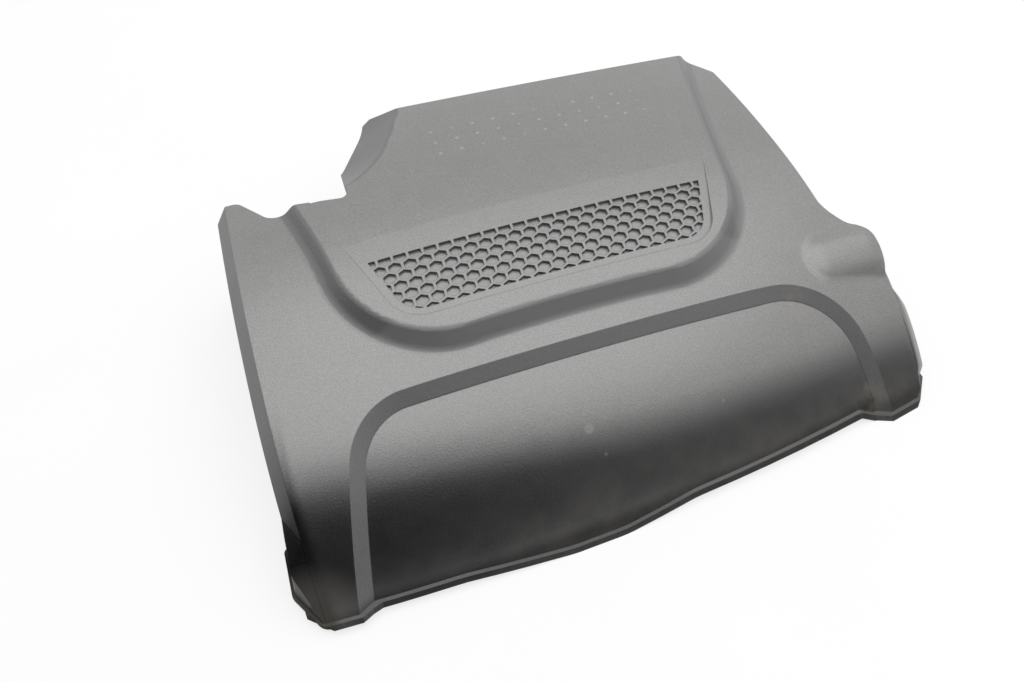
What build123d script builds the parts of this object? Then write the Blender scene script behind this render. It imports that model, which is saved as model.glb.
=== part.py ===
"""Moulded plastic engine cover: crowned shell with a raised centre, sunken panel and honeycomb grille."""
import os
from math import asin, cos, degrees, radians, sin, tan

from build123d import *

os.makedirs("parts", exist_ok=True)

# Crowned sheet that every top face follows: a side profile of arcs, turned about a far axis under the cover.
crown_radius = 2700.0
sheet_height = 124.9
lean_angle = 2.64
bow_angle = 29.0
crest_y = 57.8
crest_rise = 4.7
back_radius = 900.0
top_radius = 480.0
apron_radius = 259.0
bend_angle = 13.5
apron_angle = 62.0

# Levels below the raised centre, and the wall of the moulding
deck_drop = 11.0
panel_drop = 16.5
wall = 2.8

# Plan outline and the lean of its walls
left_x = -255.0
right_x = 246.0
hump_x = 272.0
back_y = 232.0
back_top = 193.0
back_skew = 0.079
back_slope = 44.0
draft = 2.5

# Raised centre
rise_x = -2.0
rise_y = 10.0
rise_front = -44.0
rise_half = 159.5
rise_flare = 0.16
rise_corner = 80.0
rise_slope = 40.0
rise_round = 7.0
rise_foot = 12.0

# Hump on the right edge
hump_from = 210.0
hump_to = 250.0
hump_y = -55.0
hump_level = 53.2
hump_climb = -0.04
hump_radius = 36.0
hump_foot = 14.0

# Edge bevels and the sunken front panel
left_bevel = 11.0
left_bevel_depth = 17.0
right_bevel = 11.0
right_bevel_depth = 9.0
panel_top = -86.0
panel_bevel = 10.0
panel_bevel_depth = 5.3

# Scoop in the rear left corner
scoop_level = 88.0
scoop_slope = 50.0
scoop_round = 9.0
ear_y = 140.0
ear_front = 101.0

# Shallow field with the honeycomb pockets
field_x = -2.0
field_half = 141.0
field_flare = 0.35
field_bottom = -35.0
field_top = 44.0
field_corner = 30.0
field_tilt = 2.0
pitch = 12.0
row_step = 8.15
rib = 2.4
squash = 0.784
pocket_depth = 5.0
pocket_margin = 7.0
pocket_top = 22.0

# Rim at the table
lip_out = 2.2
lip_tall = 4.0
belly_z = 0.0
left_rim_z = 6.0
right_rim_z = 6.5

# Sockets under the cover that push onto ball studs
socket_radius = 8.5
socket_depth = 15.0
post_radius = 12.5
front_post_z = 66.0
rear_post_z = 84.0
front_posts = [(-125, -62), (120, -62)]
rear_posts = [(-100, 66), (130, 140)]


def sheet(drop):
    """Solid under the crowned sheet, lowered by drop."""
    turn = 7.5
    up = Vector(sin(radians(lean_angle)), 0, cos(radians(lean_angle)))
    across = Vector(cos(radians(lean_angle)), 0, -sin(radians(lean_angle)))
    centre = Vector(0, 0, sheet_height) - up * crown_radius
    spin = Axis(centre, Vector(0, cos(radians(bow_angle)), 0) + up * sin(radians(bow_angle)))
    start = Plane(origin=centre, x_dir=Vector(0, 1, 0).rotate(spin, -turn), z_dir=across.rotate(spin, -turn))
    crest_v = crown_radius + crest_rise
    top_v = crest_v - top_radius
    apron_y = crest_y - (top_radius - apron_radius) * sin(radians(bend_angle))
    apron_v = top_v + (top_radius - apron_radius) * cos(radians(bend_angle))
    floor_v = crown_radius - sheet_height - 60
    back_turn = degrees(asin((270 - crest_y) / back_radius))
    with BuildPart() as body:
        with BuildSketch(start):
            with BuildLine():
                back_v = crest_v - back_radius
                back = CenterArc((crest_y, back_v), back_radius - drop, 90 - back_turn, back_turn)
                CenterArc((crest_y, top_v), top_radius - drop, 90, bend_angle)
                bend = apron_angle - bend_angle
                apron = CenterArc((apron_y, apron_v), apron_radius - drop, 90 + bend_angle, bend)
                foot_y = (apron @ 1).X - ((apron @ 1).Y - floor_v) / tan(radians(apron_angle))
                Polyline(apron @ 1, (foot_y, floor_v), ((back @ 0).X, floor_v), back @ 0)
            make_face()
        revolve(axis=spin, revolution_arc=2 * turn)
    return body.part


def plateau(level, inset):
    """Raised centre with sloping sides, topped by the sheet lowered by level."""
    lean = Plane(origin=(rise_x, rise_y, sheet_height + 1.6), x_dir=(1, 0, -0.047), z_dir=(0.047, -0.044, 1))
    low = 45.0
    out = low * tan(radians(rise_slope)) - inset
    front = rise_front - rise_y - out
    side = rise_half + out
    with BuildPart() as body:
        with BuildSketch(lean.offset(-low)):
            with BuildLine():
                FilletPolyline(
                    (-side - rise_flare * 310, 310),
                    (-side - rise_flare * front, front),
                    (side + rise_flare * front, front),
                    (side + rise_flare * 310, 310),
                    radius=[1, rise_corner + out, rise_corner + out, 1],
                    close=True,
                )
            make_face()
        extrude(amount=low + 13, taper=rise_slope)
        add(sheet(level), mode=Mode.INTERSECT)
    return body.part


def outline(inset):
    """Plan outline with drafted sides and a leaning back, moved in by inset."""
    with BuildPart() as body:
        with BuildSketch(Plane.XY.offset(-10)):
            with BuildLine():
                FilletPolyline(
                    (left_x + inset, back_y - inset),
                    (left_x + inset, -260),
                    (hump_x - inset, -260),
                    (hump_x - inset, -50 - inset / 2),
                    (right_x - inset, -15 - inset / 2),
                    (right_x - inset, back_y - inset),
                    radius=[1, 5, 5, 30 - inset, 30 + inset, 1],
                    close=True,
                )
            make_face()
        extrude(amount=190, taper=draft)
        away = Vector(back_skew, 1, tan(radians(back_slope)))
        with BuildSketch(Plane(origin=(0, back_top - inset, 122), x_dir=(1, -back_skew, 0), z_dir=away)):
            Rectangle(1200, 900)
        extrude(amount=400, mode=Mode.SUBTRACT)
    return body.part


def corner(inset):
    """Space outside the cut rear right corner, moved in by inset."""
    away = Vector(0.84, 0.54, 0.25)
    with BuildPart() as body:
        with BuildSketch(Plane(origin=(222 - inset, 184 - inset, 105), x_dir=(0.54, -0.84, 0), z_dir=away)):
            Rectangle(600, 900)
        extrude(amount=300)
    return body.part


def toe(inset):
    """Space outside the front right corner of the foot, moved in by inset."""
    away = Vector(0.77, -0.63, 0)
    with BuildPart() as body:
        with BuildSketch(Plane(origin=Vector(262, -167.5, 0) - away * inset, x_dir=(0, 0, 1), z_dir=away)):
            Rectangle(200, 300)
        extrude(amount=200)
    return body.part


def bevelled(body, inset):
    """Body cut to the outline, with both side edges bevelled and two corners cut."""
    with BuildPart() as cut:
        add(body)
        add(outline(inset), mode=Mode.INTERSECT)
        for toward, width, depth in ((-1, left_bevel, left_bevel_depth), (1, right_bevel, right_bevel_depth)):
            steep = [f for f in cut.faces() if abs(f.normal_at().Z) < 0.15]
            flank = [f for f in steep if f.normal_at().X * toward > 0.3 and f.center().X * toward > 200]
            side = [e for f in flank for e in f.edges() if e.geom_type == GeomType.BSPLINE]
            chamfer([e for e in side if e.center().Z > 5], width, depth)
        add(corner(inset), mode=Mode.SUBTRACT)
        add(toe(inset), mode=Mode.SUBTRACT)
    return cut.part


def panel(drop, grow):
    """Space in front of the sunken panel, its floor on the sheet lowered by drop."""
    with BuildPart() as body:
        with BuildSketch(Plane.XY.offset(-20)):
            with BuildLine():
                FilletPolyline(
                    (-175.5 - grow, panel_top + grow),
                    (-219.6 - grow, -224),
                    (230 + grow, -224),
                    (202 + grow, panel_top + grow),
                    radius=[44 + grow, 1, 1, 60 + grow],
                    close=True,
                )
            make_face()
        extrude(amount=200)
        add(sheet(drop), mode=Mode.SUBTRACT)
    return body.part


def scoop_line():
    """Plan line of the scoop at its lower edge."""
    return FilletPolyline(
        (-330, 150), (-151, 150), (-103, 226), (-103, 330), (-330, 330),
        radius=[1, 60, 80, 1, 1], close=True,
    )


def scoop(lower):
    """Scooped rear left corner: the space over a sloping wall, moved down by lower."""
    with BuildPart() as body:
        with BuildSketch(Plane.XY.offset(scoop_level - lower)):
            with BuildLine():
                scoop_line()
            make_face()
        extrude(amount=60, taper=-scoop_slope)
        with BuildSketch(Plane.XY.offset(-40)):
            with Locations((-20, 250)):
                Rectangle(300, 400)
        extrude(amount=240, mode=Mode.INTERSECT)
    return body.part


def ear(grow):
    """Space behind the short left side of the deck."""
    with BuildPart() as body:
        with BuildSketch(Plane.XY.offset(-30)):
            with BuildLine():
                FilletPolyline(
                    (-300, ear_y + 2 - grow), (-228, ear_y - 2 - grow), (-206, ear_front + 7 - grow),
                    (-139 + grow, ear_front - 6.5 - grow), (-139 + grow, 300), (-300, 300),
                    radius=[1, 10, 14, 6, 1, 1], close=True,
                )
            make_face()
        extrude(amount=200)
    return body.part


def tilted(drop):
    """Sheet turned down toward the front, for the floor of the grille field."""
    return sheet(drop).rotate(Axis((0, field_top, sheet_height + 5), (1, 0, 0)), field_tilt)


def field(grow, top):
    """Tall prism over the grille field, moved out by grow and cut straight at top."""
    bottom = field_bottom - grow
    reach = field_half + grow * 1.06
    with BuildPart() as body:
        with BuildSketch(Plane.XY.offset(60)):
            with BuildLine():
                FilletPolyline(
                    (field_x - reach - field_flare * (top - 8), top),
                    (field_x - reach - field_flare * (bottom - 8), bottom),
                    (field_x + reach + field_flare * (bottom - 8), bottom),
                    (field_x + reach + field_flare * (top - 8), top),
                    radius=[0.5, field_corner + grow, field_corner + grow, 0.5],
                    close=True,
                )
            make_face()
        extrude(amount=100)
    return body.part


def boot(inset):
    """Flared foot of the left leg, moved in by inset."""
    with BuildPart() as body:
        with BuildSketch(Plane.XY.offset(-10)):
            with BuildLine():
                FilletPolyline(
                    (-265 + inset, -122 - inset), (-265 + inset, -163), (-247 + inset, -194), (-180, -215),
                    (-180, -122 - inset), radius=[8, 14, 14, 1, 1], close=True,
                )
            make_face()
        extrude(amount=58 - 3 * inset, taper=11)
        add(sheet(deck_drop + 0.4 + inset), mode=Mode.INTERSECT)
        with BuildSketch(Plane.XY.offset(-30)):
            with Locations((-284, -160)):
                Rectangle(106, 200)
        extrude(amount=120, mode=Mode.INTERSECT)
    return body.part


def under_rim(rise):
    """Space below the front rim, with its step up to the right, raised by rise."""
    with BuildPart() as body:
        with BuildSketch(Plane.XZ.offset(120)):
            with BuildLine():
                FilletPolyline(
                    (-300, -60), (-300, left_rim_z + rise), (-140, left_rim_z + rise), (-55, belly_z + rise),
                    (-12, belly_z + rise), (48, right_rim_z + rise), (203, right_rim_z + rise),
                    (216, belly_z + rise), (300, belly_z + rise), (300, -60),
                    radius=[1, 1, 120, 120, 120, 120, 6, 6, 1, 1], close=True,
                )
            make_face()
        extrude(amount=160)
    return body.part


# Raised centre on the deck, both edges rounded
with BuildPart() as raised:
    add(plateau(0, 0))
    tops = [f for f in raised.faces() if f.normal_at().Z > 0.9]
    edge = [e for f in tops for e in f.edges() if e.geom_type == GeomType.BSPLINE and e.center().Y < 190]
    fillet([e for e in edge if e.center().Z > 93], rise_round)

with BuildPart() as deck:
    add(sheet(deck_drop))
    add(raised.part)
    fillet([e for e in deck.edges(Select.NEW) if e.center().Y < 250 and e.center().Z > 60], rise_foot)

# Hump: a round-ended bar sunk into the deck
with BuildPart() as hump:
    bar = Plane(origin=(hump_from, hump_y, hump_level), x_dir=(1, 0, hump_climb), z_dir=(0, -1, 0))
    with BuildSketch(bar):
        with BuildLine():
            CenterArc((hump_to - hump_from, 0), hump_radius, 0, 90)
            CenterArc((0, 0), hump_radius, 90, 90)
            Line((hump_to - hump_from, hump_radius), (0, hump_radius))
            Line((-hump_radius, 0), (hump_to - hump_from + hump_radius, 0))
        make_face()
    revolve(axis=Axis(bar.origin, bar.x_dir))

with BuildPart() as top:
    add(deck.part)
    add(hump.part)
    fillet([e for e in top.edges(Select.NEW) if e.length > 0.5 and e.center().Z > 50], hump_foot)

# Walls, front panel, rear corner and left foot
with BuildPart() as shaped:
    add(bevelled(top.part, 0))
    add(panel(panel_drop, 0), mode=Mode.SUBTRACT)
    border = [e for e in shaped.edges(Select.NEW) if e.geom_type == GeomType.BSPLINE and e.length > 20]
    chamfer([e for e in border if e.center().Z > 0], panel_bevel, panel_bevel_depth)
    add(scoop(0), mode=Mode.SUBTRACT)
    crest = [e for e in shaped.edges(Select.NEW) if e.geom_type == GeomType.BSPLINE and e.center().Z > 105]
    fillet([e for e in crest if -150 < e.center().X < -60], scoop_round)
    add(ear(0), mode=Mode.SUBTRACT)
    add(boot(0))

# Lip along the front rim
with BuildPart() as lip:
    add(bevelled(sheet(deck_drop - lip_out), -lip_out))
    for share in (0, 0.35, 0.7):
        rise = share * (panel_drop - deck_drop)
        add(panel(panel_drop - rise - lip_out, share * panel_bevel), mode=Mode.SUBTRACT)
    add(boot(-lip_out))
    add(under_rim(lip_tall), mode=Mode.INTERSECT)

# Hollow under the cover, with a pad left under the grille
with BuildPart() as pad:
    add(field(3, field_top + 4))
    add(tilted(pocket_depth + 2.2), mode=Mode.SUBTRACT)

with BuildPart() as inner:
    add(plateau(wall, wall * 1.3))
    add(outline(wall), mode=Mode.INTERSECT)
    add(corner(wall), mode=Mode.SUBTRACT)

with BuildPart() as hollow:
    add(bevelled(sheet(deck_drop + wall), wall))
    add(inner.part)
    add(panel(panel_drop + wall, panel_bevel + wall), mode=Mode.SUBTRACT)
    add(scoop(wall * 1.3), mode=Mode.SUBTRACT)
    add(ear(wall), mode=Mode.SUBTRACT)
    add(pad.part, mode=Mode.SUBTRACT)
    add(boot(wall))

# Openings in the walls: below the table, under the scoop, at both sides and at the back
with BuildPart() as openings:
    with BuildSketch(Plane.XY.offset(-60)):
        Rectangle(1200, 1200)
    extrude(amount=60)
    with BuildSketch(Plane.XY.offset(-40)):
        with BuildLine():
            scoop_line()
        make_face()
    extrude(amount=scoop_level + 40)
    with BuildSketch(Plane.YZ.offset(-330)):
        with BuildLine():
            FilletPolyline((-112, -40), (-94, 52), (52, 52), (72, -40), radius=[1, 22, 22, 1], close=True)
        make_face()
    extrude(amount=120)
    with BuildSketch(Plane.YZ.offset(205)):
        with BuildLine():
            FilletPolyline((-102, -40), (-84, 50), (118, 50), (136, -40), radius=[1, 22, 22, 1], close=True)
        make_face()
    extrude(amount=120)
    with BuildSketch(Plane.XZ.offset(-280)):
        with BuildLine():
            FilletPolyline((-150, -40), (-150, 74), (182, 74), (200, -40), radius=[1, 1, 22, 1], close=True)
        make_face()
    extrude(amount=150)
    with BuildSketch(Plane.XZ.offset(-136)):
        with BuildLine():
            FilletPolyline((-204, -40), (-190, 60), (-118, 60), (-118, -40), radius=[1, 22, 1, 1], close=True)
        make_face()
    extrude(amount=72)

with BuildPart() as shell:
    add(shaped.part)
    add(lip.part)
    add(under_rim(0), mode=Mode.SUBTRACT)
    add(hollow.part, mode=Mode.SUBTRACT)
    add(openings.part, mode=Mode.SUBTRACT)

# Posts for the sockets, each reaching up into the skin
with BuildPart() as front_legs:
    with BuildSketch(Plane.XY.offset(front_post_z)):
        with Locations(front_posts):
            Circle(post_radius)
    extrude(amount=100)
    add(sheet(deck_drop + 1), mode=Mode.INTERSECT)

with BuildPart() as rear_legs:
    with BuildSketch(Plane.XY.offset(rear_post_z)):
        with Locations(rear_posts):
            Circle(post_radius)
    extrude(amount=100)
    add(sheet(1), mode=Mode.INTERSECT)

# Honeycomb pockets in the field
with BuildPart() as pockets:
    with BuildSketch(Plane.XY.offset(60)):
        half = (pitch - rib) / 2
        tall = half / cos(radians(30)) * squash
        for row in range(-4, 3):
            shift = pitch / 2 if row % 2 == 0 else 0
            cells = range(-12, 12 if shift else 13)
            with Locations([(field_x + shift + pitch * cell, -row_step * row - 13) for cell in cells]):
                Polygon(
                    (0, tall), (-half, tall / 2), (-half, -tall / 2),
                    (0, -tall), (half, -tall / 2), (half, tall / 2),
                )
    extrude(amount=100)
    add(field(-pocket_margin, pocket_top), mode=Mode.INTERSECT)
    add(tilted(pocket_depth), mode=Mode.SUBTRACT)

with BuildPart() as basin:
    add(field(0, field_top))
    add(tilted(0), mode=Mode.SUBTRACT)

with BuildPart() as whole:
    add(shell.part)
    add(front_legs.part)
    add(rear_legs.part)
    with BuildSketch(Plane.XY.offset(front_post_z)):
        with Locations(front_posts):
            Circle(socket_radius)
    extrude(amount=socket_depth, mode=Mode.SUBTRACT)
    with BuildSketch(Plane.XY.offset(rear_post_z)):
        with Locations(rear_posts):
            Circle(socket_radius)
    extrude(amount=socket_depth, mode=Mode.SUBTRACT)
    add(basin.part, mode=Mode.SUBTRACT)
    add(pockets.part, mode=Mode.SUBTRACT)

# Seated on the table, centred
with BuildPart() as engine_cover:
    box = whole.part.bounding_box()
    add(whole.part.moved(Location((-box.center().X, -box.center().Y, -box.min.Z))))

engine_cover.part.label = "engine_cover"
export_step(engine_cover.part, "parts/engine_cover.step")
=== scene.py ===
"""Looks for the engine cover: grained black plastic with dust, faded patches, painted light and a painted
edge highlight, on a pale floor under soft light.
"""
import math
from functools import reduce

import bpy
from mathutils import Matrix, Vector


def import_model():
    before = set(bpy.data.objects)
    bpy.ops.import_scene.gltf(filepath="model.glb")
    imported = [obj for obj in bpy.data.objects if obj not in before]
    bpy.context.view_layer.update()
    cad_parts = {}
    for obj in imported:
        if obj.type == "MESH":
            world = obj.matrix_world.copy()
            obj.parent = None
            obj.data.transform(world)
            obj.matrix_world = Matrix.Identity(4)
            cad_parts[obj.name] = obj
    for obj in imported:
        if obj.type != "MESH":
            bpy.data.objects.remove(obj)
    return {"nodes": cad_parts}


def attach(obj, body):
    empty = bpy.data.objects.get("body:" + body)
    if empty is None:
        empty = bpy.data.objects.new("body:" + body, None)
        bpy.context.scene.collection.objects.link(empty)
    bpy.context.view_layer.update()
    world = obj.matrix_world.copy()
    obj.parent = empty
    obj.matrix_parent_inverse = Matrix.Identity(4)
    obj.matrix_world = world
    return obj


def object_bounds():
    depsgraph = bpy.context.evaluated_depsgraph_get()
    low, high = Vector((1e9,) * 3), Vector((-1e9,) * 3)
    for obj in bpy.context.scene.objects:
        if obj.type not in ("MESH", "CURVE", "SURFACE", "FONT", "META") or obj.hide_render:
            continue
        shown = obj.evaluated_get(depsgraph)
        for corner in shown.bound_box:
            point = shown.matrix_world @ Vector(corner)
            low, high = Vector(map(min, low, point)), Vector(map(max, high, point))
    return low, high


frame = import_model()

scene = bpy.context.scene
scene.view_settings.view_transform = "Standard"
cad_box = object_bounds()
cover = frame["nodes"]["engine_cover"]

# Crowned sheet that every top face follows, in metres: crest, radii, and where its apron begins and ends
CREST_X, CREST_Y, CREST_Z = -0.129, 0.0413, 0.1324
CROWN_RADIUS, TOP_RADIUS, APRON_RADIUS = 2.7, 0.48, 0.259
APRON_Y = -0.0708
RIM_Y = cad_box[0][1]

# Places with dust, marks and painted light of their own, in metres
HUMP = (0.225, -0.0715, 0.085)
LEFT_FOOT = (-0.25, -0.19, 0.01)
RIGHT_FOOT = (0.210, -0.179, 0.0144)
PANEL_CORNER = (0.1727, -0.1063, 0.0728)
DROP = (-0.0262, -0.1507, 0.0625)
SMALL_MARKS = [(-0.0191, -0.1679, 0.0489), (0.0825, -0.1572, 0.0504)]


def grey(level):
    """Opaque neutral colour."""
    return (level, level, level, 1)


# Colours of the plastic, of what lies on it, and of the light painted on it
BLACK = (0.008, 0.008, 0.009, 1)
FADED_BLACK = grey(0.012)
GRAIN_TIPS = grey(0.026)
# Dust colour that also stands for painted light from above on the faces that look up
DUST_AND_TOP_LIGHT = (0.224, 0.222, 0.217, 1)
HUMP_DUST = (0.32, 0.317, 0.31, 1)
# Painted bounce light from the floor on the low faces
FLOOR_BOUNCE_TINT = (0.09, 0.085, 0.078, 1)
TAN_DUST = (0.24, 0.2, 0.15, 1)
DARK_SLOPE = (0.078, 0.078, 0.079, 1)
LIGHT_SLOPE = grey(0.112)
# Painted light on the slopes in front and to the right of the raised centre
PAINTED_LIT_SLOPE = grey(0.19)
# Painted highlight on the outer edge of the right leg
EDGE_HIGHLIGHT = (0.5, 0.5, 0.49, 1)
SPECK = (0.42, 0.41, 0.39, 1)
DRIED_MARK = (0.26, 0.27, 0.27, 1)
WHITE = grey(1)


class Nodes:
    """Small helper around one node tree, which it empties first."""

    def __init__(self, tree):
        self.tree = tree
        tree.nodes.clear()

    def new(self, kind, inputs=None, **settings):
        """New node, with each input set to a value or linked to a socket."""
        node = self.tree.nodes.new(kind)
        for key, value in settings.items():
            setattr(node, key, value)
        for key, value in (inputs or {}).items():
            if isinstance(value, bpy.types.NodeSocket):
                self.tree.links.new(value, node.inputs[key])
            else:
                node.inputs[key].default_value = value
        return node

    def math(self, operation, a, b=0.0):
        """Result of one math node."""
        return self.new("ShaderNodeMath", {0: a, 1: b}, operation=operation).outputs[0]

    def times(self, *values):
        """Product of the values."""
        return reduce(lambda a, b: self.math("MULTIPLY", a, b), values)

    def most(self, *values):
        """Largest of the values."""
        return reduce(lambda a, b: self.math("MAXIMUM", a, b), values)

    def mix(self, factor, a, b):
        """Colour a where the factor is zero, passing to colour b where it is one."""
        return self.new("ShaderNodeMix", {0: factor, 6: a, 7: b}, data_type="RGBA").outputs[2]

    def ramp(self, value, span, levels=(0.0, 1.0), shape="SMOOTHSTEP"):
        """Passes from the first level to the second while the value crosses the span."""
        inputs = dict(enumerate((value, *span, *levels)))
        return self.new("ShaderNodeMapRange", inputs, interpolation_type=shape).outputs[0]

    def line(self, value, span, levels):
        """Straight ramp, without soft ends."""
        return self.ramp(value, span, levels, shape="LINEAR")

    def fall(self, value, span):
        """Ramp from one down to nothing."""
        return self.ramp(value, span, (1.0, 0.0))

    def noise(self, where, scale, detail, roughness=0.5):
        """Cloudy noise between nothing and one."""
        inputs = {"Vector": where, "Scale": scale, "Detail": detail, "Roughness": roughness}
        return self.new("ShaderNodeTexNoise", inputs).outputs["Fac"]

    def spot(self, where, centre, radii):
        """One within the first radius of the centre, falling to nothing at the second."""
        gap = self.new("ShaderNodeVectorMath", {0: where, 1: centre}, operation="DISTANCE")
        return self.fall(gap.outputs["Value"], radii)


class Surface(Nodes):
    """Node tree of the cover's plastic, with the values that its layers share."""

    def __init__(self, tree):
        super().__init__(tree)
        hump_radii = (0.04, 0.055)
        self.place = self.new("ShaderNodeTexCoord").outputs["Object"]
        self.x, self.y, self.z = self.new("ShaderNodeSeparateXYZ", {0: self.place}).outputs
        facing = self.new("ShaderNodeNewGeometry").outputs["Normal"]
        self.aside, self.back, self.up = self.new("ShaderNodeSeparateXYZ", {0: facing}).outputs
        self.broad = self.noise(self.place, scale=11.0, detail=4.0, roughness=0.6)
        self.cloudy = self.noise(self.place, scale=45.0, detail=4.0, roughness=0.65)
        self.grain = self.noise(self.place, scale=950.0, detail=2.0, roughness=0.6)
        self.hump = self.spot(self.place, HUMP, hump_radii)


def slopes(s):
    """One on the slopes and bevels, whose faces lean away from the crowned sheet around them."""
    steep_to_flush = (0.94, 0.99)
    foot_x, foot_y = (-0.24, -0.22), (-0.165, -0.08)

    # Lean of the sheet towards the front, which grows from the crest to the rim of the apron
    top_lean = (CREST_Y - APRON_Y) / TOP_RADIUS
    apron_lean = (APRON_Y - RIM_Y) / APRON_RADIUS
    over_top = s.line(s.y, (APRON_Y, CREST_Y), (top_lean, 0.0))
    over_apron = s.line(s.y, (RIM_Y, APRON_Y), (apron_lean, 0.0))
    lean = s.math("ADD", over_top, over_apron)
    rise = s.math("SQRT", s.math("SUBTRACT", 1.0, s.times(lean, lean)))

    # Cosine between the face and the sheet, with the left foot and the hump left out
    along = s.math("SUBTRACT", s.times(rise, s.up), s.times(lean, s.back))
    off_foot = s.most(s.ramp(s.x, foot_x), s.ramp(s.y, foot_y))
    off_hump = s.math("SUBTRACT", 1.0, s.hump)
    return s.times(s.fall(along, steep_to_flush), off_foot, off_hump)


def bare_plastic(s):
    """Black plastic, faded in broad patches, with paler tips to its grain."""
    patch = (0.3, 0.7)
    tips, tip_levels = (0.3, 0.75), (0.0, 0.35)
    colour = s.mix(s.ramp(s.broad, patch), BLACK, FADED_BLACK)
    return s.mix(s.ramp(s.grain, tips, tip_levels), colour, GRAIN_TIPS)


def dust_and_painted_top_light(s, colour):
    """Dust and painted light from above on the faces that look up, thicker in cloudy patches, with more on
    the flanks of the hump.
    """
    left_side, left_turn = (-0.2, 0.0), (-0.04, 0.01)
    right_side, right_turn = (0.06, 0.24), (0.0, -0.05)
    turn_share = 0.3
    facing_up = (0.755, 0.865)
    patch, patch_levels = (0.25, 0.75), (0.92, 1.0)
    speckle, speckle_levels = (0.38, 0.62), (0.68, 1.0)
    near_floor, floor_levels = (0.004, 0.02), (0.25, 1.0)
    rear, rear_levels = (0.0, 0.08), (1.0, 0.9)
    foot_x, foot_z = (-0.235, -0.225), (0.06, 0.08)
    flank, flank_levels = (0.55, 0.95), (0.5, 0.0)

    # Painted light from the right: faces turned to the right count as more level, and those near the left
    # and right sides as less
    painted_right_light = s.math("ADD", s.line(s.x, left_side, left_turn), s.line(s.x, right_side, right_turn))
    painted_right_light = s.math("ADD", s.times(s.aside, turn_share), painted_right_light)
    top_light_and_dust = s.times(
        s.most(s.ramp(s.math("ADD", s.up, painted_right_light), facing_up), s.hump),
        s.ramp(s.cloudy, patch, patch_levels),
        s.ramp(s.grain, speckle, speckle_levels),
        s.ramp(s.z, near_floor, floor_levels),
        s.ramp(s.y, rear, rear_levels),
        s.most(s.ramp(s.x, foot_x), s.ramp(s.z, foot_z)),
    )
    flanks = s.times(s.hump, s.ramp(s.up, flank, flank_levels))
    return s.mix(flanks, s.mix(top_light_and_dust, colour, DUST_AND_TOP_LIGHT), HUMP_DUST)


def painted_floor_bounce(s, colour):
    """Painted bounce light from the floor: low faces turn a dark grey that thins out upwards from the floor
    and to the left, with a painted paler patch on the left foot.
    """
    height, height_levels = (0.012, 0.058), (0.55, 0.0)
    patch, patch_levels = (0.3, 0.7), (0.4, 1.0)
    left_side, left_levels = (-0.19, -0.04), (0.4, 1.0)
    foot_radii = (0.015, 0.045)

    low = s.times(
        s.ramp(s.z, height, height_levels),
        s.ramp(s.cloudy, patch, patch_levels),
        s.ramp(s.x, left_side, left_levels),
    )
    return s.mix(s.most(low, s.spot(s.place, LEFT_FOOT, foot_radii)), colour, FLOOR_BOUNCE_TINT)


def coarse_slopes_with_painted_light(s, colour, slope):
    """Coarser, paler grain on slopes and bevels, with painted light making it palest in front and to the
    right of the raised centre.
    """
    front_y, panel_y = (-0.052, -0.047), (-0.09, -0.07)
    left_x, right_x = (-0.235, -0.215), (0.14, 0.15)
    grain_span = (0.3, 0.7)
    slope_light_share = 0.5

    # Painted light: the slopes in front and to the right of the raised centre are made paler
    front = s.times(s.fall(s.y, front_y), s.ramp(s.x, left_x))
    painted_slope_light = s.times(s.ramp(s.y, panel_y), s.most(front, s.ramp(s.x, right_x)))
    coarse = s.mix(s.ramp(s.grain, grain_span), DARK_SLOPE, LIGHT_SLOPE)
    coarse = s.mix(s.times(painted_slope_light, slope_light_share), coarse, PAINTED_LIT_SLOPE)
    return s.mix(slope, colour, coarse)


def painted_edge_highlight(s, colour):
    """Painted highlight on the rounded outer edge of the right leg."""
    edge_x, leg_y, above_floor = (0.2575, 0.2615), (-0.125, -0.105), (0.006, 0.014)
    facing_up = (0.2, 0.4)
    strength = 0.65

    rim = s.times(
        s.ramp(s.x, edge_x),
        s.ramp(s.up, facing_up),
        s.ramp(s.z, above_floor),
        s.fall(s.y, leg_y),
    )
    return s.mix(s.times(rim, strength), colour, EDGE_HIGHLIGHT)


def specks(s, colour):
    """Rows of dried specks of uneven strength on the rear half of the raised centre."""
    first_x, first_y, pitch_x, pitch_y = -0.0692, 0.0943, 0.01875, 0.0156
    row_count = 3.0
    left_end, right_end = (-0.08, -0.06), (0.12, 0.15)
    middle, radii = 0.5, (0.0007, 0.0021)
    chance_span, chance_levels = (0.0, 0.7), (0.4, 1.0)
    strength = 0.6

    column = s.math("DIVIDE", s.math("SUBTRACT", s.x, first_x), pitch_x)
    row = s.math("DIVIDE", s.math("SUBTRACT", s.y, first_y), pitch_y)
    aside = s.times(s.math("SUBTRACT", s.math("FRACT", column), middle), pitch_x)
    back = s.times(s.math("SUBTRACT", s.math("FRACT", row), middle), pitch_y)
    gap = s.math("SQRT", s.math("ADD", s.times(aside, aside), s.times(back, back)))
    cell = s.new("ShaderNodeCombineXYZ", {0: s.math("FLOOR", column), 1: s.math("FLOOR", row)})
    chance = s.new("ShaderNodeTexWhiteNoise", {"Vector": cell.outputs[0]}, noise_dimensions="3D")
    dots = s.times(
        s.fall(gap, radii),
        s.ramp(chance.outputs["Value"], chance_span, chance_levels),
        s.math("GREATER_THAN", row, 0.0),
        s.math("LESS_THAN", row, row_count),
        s.ramp(s.x, left_end),
        s.fall(s.x, right_end),
    )
    return s.mix(s.times(dots, strength), colour, SPECK)


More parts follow.
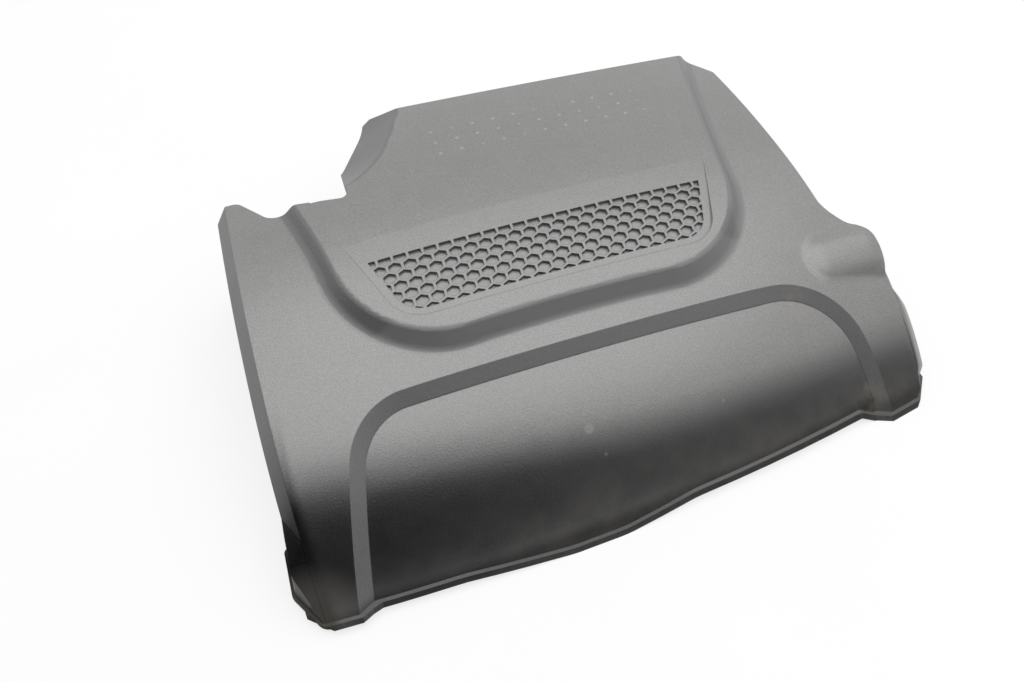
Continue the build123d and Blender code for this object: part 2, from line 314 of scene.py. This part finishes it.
def dried_marks(s, colour):
    """A dried drop and two smaller marks on the sunken panel."""
    drop_radii, drop_strength = (0.0025, 0.0048), 0.55
    mark_radii, mark_strength = (0.0008, 0.002), 0.4
    drop = s.spot(s.place, DROP, drop_radii)
    small = s.most(*[s.spot(s.place, mark, mark_radii) for mark in SMALL_MARKS])
    marks = s.most(s.times(drop, drop_strength), s.times(small, mark_strength))
    return s.mix(marks, colour, DRIED_MARK)


def tan_dust(s, colour):
    """Tan dust caught at the foot of the right leg and in the corner of the panel."""
    foot_radii, foot_patch = (0.004, 0.02), (0.4, 0.65)
    corner_radii, corner_patch = (0.004, 0.028), (0.45, 0.7)
    strength = 0.5
    foot = s.times(s.spot(s.place, RIGHT_FOOT, foot_radii), s.ramp(s.cloudy, foot_patch))
    corner = s.times(s.spot(s.place, PANEL_CORNER, corner_radii), s.ramp(s.cloudy, corner_patch))
    return s.mix(s.times(s.most(foot, corner), strength), colour, TAN_DUST)


def roughness(s, slope):
    """Cloudy roughness, higher on the slopes."""
    patch, patch_levels = (0.25, 0.75), (0.28, 0.31)
    slope_share = 0.2
    return s.math("ADD", s.ramp(s.cloudy, patch, patch_levels), s.times(slope, slope_share))


def gloss(s):
    """Level of the gloss, which is low near the floor and on the left foot."""
    near_floor, floor_levels = (0.008, 0.018), (0.25, 1.0)
    foot_x, foot_y, foot_levels = (-0.245, -0.235), (-0.15, -0.07), (0.02, 1.0)
    off_foot = s.most(s.ramp(s.x, foot_x), s.ramp(s.y, foot_y, foot_levels))
    return s.times(s.ramp(s.z, near_floor, floor_levels), off_foot)


def grain_bump(s):
    """Normal of the moulded grain, with small rounded edges."""
    cell_scale, noise_share, cell_share = 1250.0, 0.7, 0.5
    edge_radius, edge_samples = 0.0011, 6
    strength, depth = 0.5, 0.00025

    cells = s.new("ShaderNodeTexVoronoi", {"Vector": s.place, "Scale": cell_scale}, feature="SMOOTH_F1")
    height = s.math("ADD", s.times(s.grain, noise_share), s.times(cells.outputs["Distance"], cell_share))
    edges = s.new("ShaderNodeBevel", {"Radius": edge_radius}, samples=edge_samples)
    inputs = {"Strength": strength, "Distance": depth, "Height": height, "Normal": edges.outputs[0]}
    return s.new("ShaderNodeBump", inputs).outputs[0]


def new_material(name):
    """Material that is made of nodes."""
    material = bpy.data.materials.new(name)
    material.use_nodes = True
    return material


def plastic():
    """Fine-grained black moulded plastic with settled dust, specks, painted light on level, low and
    right-facing faces, and a painted highlight on the right leg's edge.
    """
    refraction = 1.65
    material = new_material("cover_plastic")
    s = Surface(material.node_tree)
    slope = slopes(s)
    colour = bare_plastic(s)
    colour = dust_and_painted_top_light(s, colour)
    colour = painted_floor_bounce(s, colour)
    colour = coarse_slopes_with_painted_light(s, colour, slope)
    colour = painted_edge_highlight(s, colour)
    colour = specks(s, colour)
    colour = dried_marks(s, colour)
    colour = tan_dust(s, colour)
    inputs = {
        "Base Color": colour,
        "Roughness": roughness(s, slope),
        "IOR": refraction,
        "Specular IOR Level": gloss(s),
        "Normal": grain_bump(s),
    }
    shader = s.new("ShaderNodeBsdfPrincipled", inputs)
    s.new("ShaderNodeOutputMaterial", {"Surface": shader.outputs[0]})
    return material


def add_mesh(name, points, faces, material):
    """New mesh object in one material."""
    mesh = bpy.data.meshes.new(name)
    mesh.from_pydata(points, [], faces)
    mesh.materials.append(material)
    thing = bpy.data.objects.new(name, mesh)
    scene.collection.objects.link(thing)
    return thing


def add_piece(name, points, faces):
    """Visual piece of the cover's own plastic, fixed to the cover."""
    piece = add_mesh(name, points, faces, cover_plastic)
    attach(piece, "root")
    return piece


def grille_floor():
    """Dusty floor in the pockets of the grille: a sheet that follows the crowned field below its ribs."""
    back_y, front_y, rows = 0.0058, -0.0448, 12
    middle_x, middle_y, half, flare, columns = -0.0068, -0.0085, 0.1355, 0.35, 60
    tilt, tilt_y = 0.0349, 0.0275
    depth = 0.0027

    points = []
    for row in range(rows + 1):
        y = back_y + (front_y - back_y) * row / rows
        reach = half + flare * (y - middle_y)
        for column in range(columns + 1):
            x = middle_x + reach * (2 * column / columns - 1)
            sag = (y - CREST_Y) ** 2 / (2 * TOP_RADIUS) + (x - CREST_X) ** 2 / (2 * CROWN_RADIUS)
            points.append((x, y, CREST_Z - sag + tilt * (y - tilt_y) - depth))
    wide = columns + 1
    corners = [row * wide + column for row in range(rows) for column in range(columns)]
    faces = [(c, c + wide, c + wide + 1, c + 1) for c in corners]
    piece = add_piece("grille_floor", points, faces)
    piece.data.polygons.foreach_set("use_smooth", [True] * len(faces))


def lip_web(name, tips, rise):
    """Web over the small steps where the lip turns round a foot, from the steps' tips back into the lip."""
    inward = Vector((0.0, 0.004, 0.0))
    low = [Vector(tip) for tip in tips]
    low += [tip + inward for tip in reversed(low)]
    points = low + [point + Vector(rise) for point in low]
    count = len(low)
    faces = [tuple(reversed(range(count))), tuple(range(count, 2 * count))]
    for i in range(count):
        j = (i + 1) % count
        faces.append((i, j, count + j, count + i))
    add_piece(name, points, faces)


def lip_webs():
    """One web at the inner side of each foot."""
    left_lip, right_lip = 0.00605, 0.00005
    left_tips = [(-0.2231, -0.2130, left_lip), (-0.2144, -0.2092, left_lip), (-0.2070, -0.2073, left_lip)]
    right_tips = [(0.2120, -0.1947, right_lip), (0.2243, -0.1999, right_lip)]
    left_rise, right_rise = (0.00085, 0.00273, 0.0039), (-0.00062, 0.00316, 0.0039)
    lip_web("lip_web_left", left_tips, left_rise)
    lip_web("lip_web_right", right_tips, right_rise)


def foot_gusset():
    """Slanted corner that carries the left bevel down onto the foot."""
    peak = (-0.2460, -0.1618, 0.0570)
    inner = (-0.2466, -0.1727, 0.0470)
    outer = (-0.2587, -0.1715, 0.0470)
    rear = (-0.2587, -0.1495, 0.0478)
    start = (-0.2571, -0.1375, 0.0531)
    points = [peak, inner, outer, rear, start]
    faces = [(0, 2, 1), (0, 4, 2), (2, 4, 3), (1, 2, 3), (0, 3, 4), (0, 1, 3)]
    add_piece("foot_gusset", points, faces)


def edge_roll():
    """Rounded outer edge of the right leg, laid over the bevel between the sheet and the side wall."""
    rear_y, front_y, rows, steps = -0.106, -0.1775, 30, 12
    fade_rear, fade_front = 0.35, 0.12
    fall = Vector((0.0094, 0.0044, -0.0125))
    outward = Vector((0.80, -0.37, 0.47)).normalized()
    swell, root = 0.0045, 0.0015

    # Upper edge of the bevel: a point on it, and how its side and height change along the leg
    edge_x, edge_y, edge_z = 0.2557, -0.1352, 0.0495
    drift, climb, bend = -0.034, 0.627, -4.18

    points = []
    for row in range(rows + 1):
        share = row / rows
        y = rear_y + (front_y - rear_y) * share
        run = y - edge_y
        top = Vector((edge_x + drift * run, y, edge_z + climb * run + bend * run * run))

        # The roll swells and dies away softly along the leg
        fade = min(1.0, share / fade_rear) * min(1.0, (1 - share) / fade_front)
        bulge = swell * fade * fade * (3 - 2 * fade)
        for step in range(steps + 1):
            part = step / steps
            points.append(top + fall * part + outward * (bulge * math.sin(math.pi * part)))
        points.append(top + fall - outward * root)
        points.append(top - outward * root)

    ring = steps + 3
    faces, smooth = [], []
    for row in range(rows):
        for i in range(ring):
            a, b = row * ring + i, row * ring + (i + 1) % ring
            faces.append((a, a + ring, b + ring, b))
            smooth.append(i < steps)
    faces.append(tuple(range(ring)))
    faces.append(tuple(reversed(range(rows * ring, (rows + 1) * ring))))
    piece = add_piece("edge_roll", points, faces)
    piece.data.polygons.foreach_set("use_smooth", smooth + [False, False])


def seen(n):
    """One for the rays that show the backdrop: from the camera, or by way of gloss or glass."""
    path = n.new("ShaderNodeLightPath").outputs
    return n.most(path["Is Camera Ray"], path["Is Glossy Ray"], path["Is Transmission Ray"])


def floor():
    """Plain pale floor that keeps the soft shadow."""
    reach, drop = 30.0, 0.0002
    dark, light, patch_scale, patch_detail = grey(0.29), grey(0.31), 6.0, 3.0
    near_radii, glow_levels = (1.0, 4.0), (0.83, 0.73)

    material = new_material("pale_floor")
    n = Nodes(material.node_tree)
    place = n.new("ShaderNodeTexCoord").outputs["Object"]
    tone = n.mix(n.noise(place, patch_scale, patch_detail), dark, light)
    matt = n.new("ShaderNodeBsdfDiffuse", {"Color": tone})
    near = n.spot(place, (0.0, 0.0, 0.0), near_radii)
    strength = n.times(seen(n), n.line(near, (0.0, 1.0), glow_levels))
    glow = n.new("ShaderNodeEmission", {"Color": WHITE, "Strength": strength})
    both = n.new("ShaderNodeAddShader", {0: matt.outputs[0], 1: glow.outputs[0]})
    n.new("ShaderNodeOutputMaterial", {"Surface": both.outputs[0]})

    corners = [(-reach, -reach, 0), (reach, -reach, 0), (reach, reach, 0), (-reach, reach, 0)]
    piece = add_mesh("floor", corners, [(0, 1, 2, 3)], material)
    piece.location.z = -drop


def world():
    """Even white light from all round, as in a light tent."""
    levels = (0.62, 1.0)
    sky = bpy.data.worlds.new("studio")
    scene.world = sky
    sky.use_nodes = True
    n = Nodes(sky.node_tree)
    strength = n.ramp(seen(n), (0.0, 1.0), levels)
    back = n.new("ShaderNodeBackground", {"Color": WHITE, "Strength": strength})
    n.new("ShaderNodeOutputWorld", {"Surface": back.outputs[0]})


def opening():
    """Dark front opening of the light tent, behind the camera, which doesn't see it."""
    front_y, left_x, right_x = -3, -3, 6
    front_top = [(right_x, 1.5), (1, 2.6), (-0.4, 3.75), (left_x, 4.9)]
    left_top = [(-0.8, 3.0), (0.4, 1.6), (1.2, 0)]
    dark, less_dark, patch_scale, patch_detail = grey(0.02), grey(0.04), 2.0, 3.0
    pale, pale_from = grey(0.5), (-0.6, 1.2)

    material = new_material("dark_cloth")
    n = Nodes(material.node_tree)
    place = n.new("ShaderNodeTexCoord").outputs["Object"]
    tone = n.mix(n.noise(place, patch_scale, patch_detail), dark, less_dark)
    sideways = n.new("ShaderNodeSeparateXYZ", {0: place}).outputs[0]
    tone = n.mix(n.ramp(sideways, pale_from), tone, pale)
    matt = n.new("ShaderNodeBsdfDiffuse", {"Color": tone})
    n.new("ShaderNodeOutputMaterial", {"Surface": matt.outputs[0]})

    points = [(left_x, front_y, 0), (right_x, front_y, 0)]
    points += [(x, front_y, z) for x, z in front_top]
    points += [(left_x, y, z) for y, z in left_top]
    piece = add_mesh("opening", points, [(0, 1, 2, 3, 4, 5), (0, 5, 6, 7, 8)], material)
    piece.visible_camera = False


def softbox(name, direction, distance, size, radiance):
    """Square area light that looks at the middle of the cover."""
    middle = Vector((0, 0, 0.06))
    lamp = bpy.data.lights.new(name, "AREA")
    lamp.shape = "SQUARE"
    lamp.size = size
    lamp.energy = radiance * math.pi * size * size
    piece = bpy.data.objects.new(name, lamp)
    scene.collection.objects.link(piece)
    aim = Vector(direction).normalized()
    piece.location = middle + aim * distance
    piece.rotation_mode = "QUATERNION"
    piece.rotation_quaternion = aim.to_track_quat("Z", "Y")


def camera():
    """Camera at the photo's place and angle."""
    place = (-0.15159, -0.40838, 0.58809)
    right = Vector((0.94449, -0.32573, -0.04289))
    rough_up = Vector((0.2909, 0.76844, 0.56999))
    data = bpy.data.cameras.new("camera")
    data.sensor_fit = "HORIZONTAL"
    data.sensor_width = 36.0
    data.lens = 28.125
    data.clip_start = 0.01
    data.clip_end = 100.0
    piece = bpy.data.objects.new("camera", data)
    scene.collection.objects.link(piece)
    back = right.cross(rough_up).normalized()
    up = back.cross(right).normalized()
    turn = Matrix((right, up, back)).transposed().to_4x4()
    piece.matrix_world = Matrix.Translation(place) @ turn
    scene.camera = piece


cover_plastic = plastic()
cover.data.materials.clear()
cover.data.materials.append(cover_plastic)

grille_floor()
lip_webs()
foot_gusset()
edge_roll()
floor()
world()
opening()
softbox("top_light", direction=(0.12, -0.02, 1.0), distance=2.2, size=3.0, radiance=1.15)
camera()
